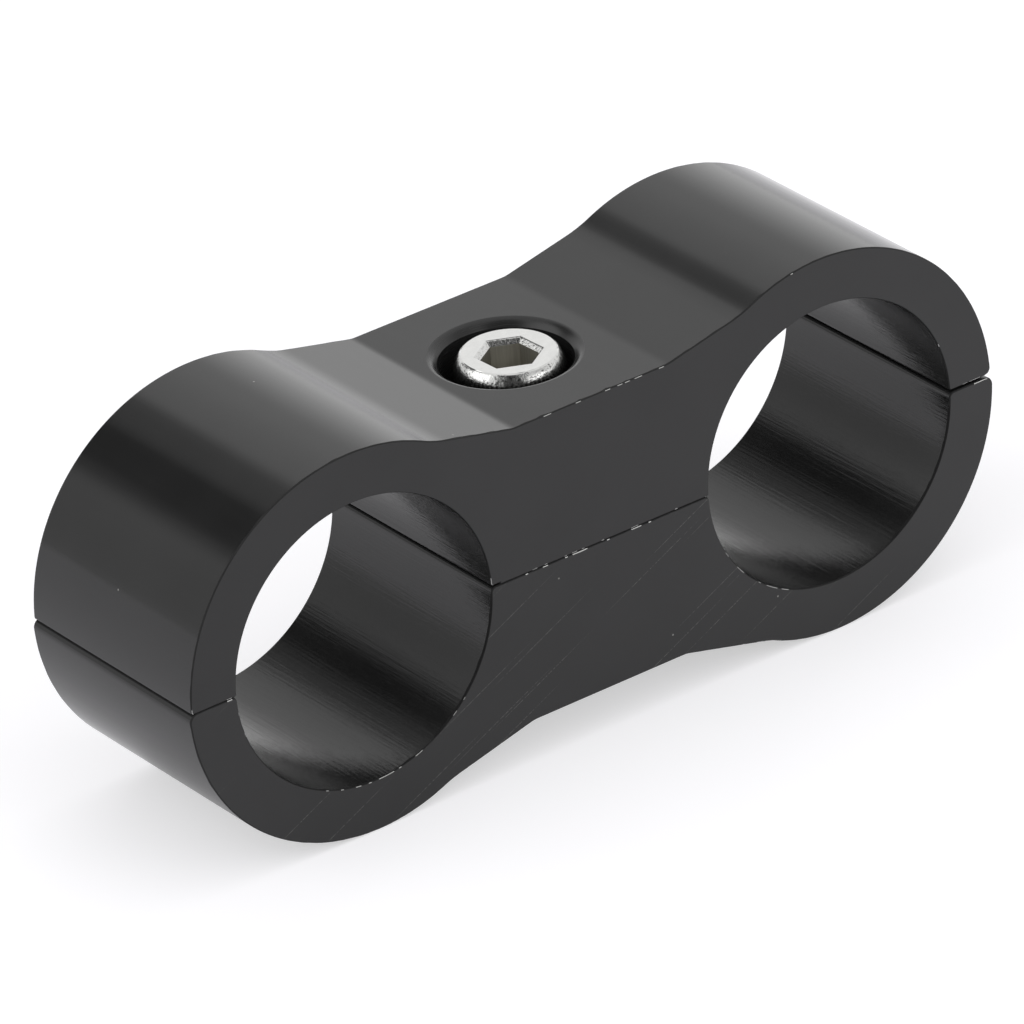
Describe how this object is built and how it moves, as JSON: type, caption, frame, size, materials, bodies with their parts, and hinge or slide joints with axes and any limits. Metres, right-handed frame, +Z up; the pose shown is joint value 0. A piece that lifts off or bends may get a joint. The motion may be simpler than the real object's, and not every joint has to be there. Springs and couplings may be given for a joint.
{
  "type": "hose separator clamp",
  "caption": "Split clamp block that holds a pair of parallel hoses side by side, its matt black halves drawn together by a socket head screw sunk in the waist between the bores.",
  "frame": {"origin": "on the split plane between the halves, midway between the axes of the two hose bores and midway along the hoses", "axes": "+X across the hoses, towards the bore on the right in the picture; +Y along the hoses, away from the face seen in the picture; +Z up along the screw, from the lower half to its head"},
  "size_m": [0.0486, 0.013, 0.0203],
  "materials": {
    "black_anodised_aluminium": "matt black anodised extrusion",
    "bright_plated_steel": "bright plated steel"
  },
  "bodies": {
    "lower_half": {"lower_half": "black_anodised_aluminium"},
    "upper_half": {"upper_half": "black_anodised_aluminium"},
    "clamp_screw": {"clamp_screw": "bright_plated_steel"}
  },
  "joints": [
    {"name": "half_lift", "type": "slide", "parent": "lower_half", "child": "upper_half", "axis": [0, 0, 1], "range_m": [0, 0.007]},
    {"name": "screw_turn", "type": "hinge", "parent": "upper_half", "child": "clamp_screw", "pos_m": [0, 0, 0.0079], "axis": [0, 0, 1], "range_deg": [0, 5040]}
  ],
  "couplings": [
    {"joint": "screw_turn", "follows": "half_lift", "rad_per_m": 12566}
  ]
}
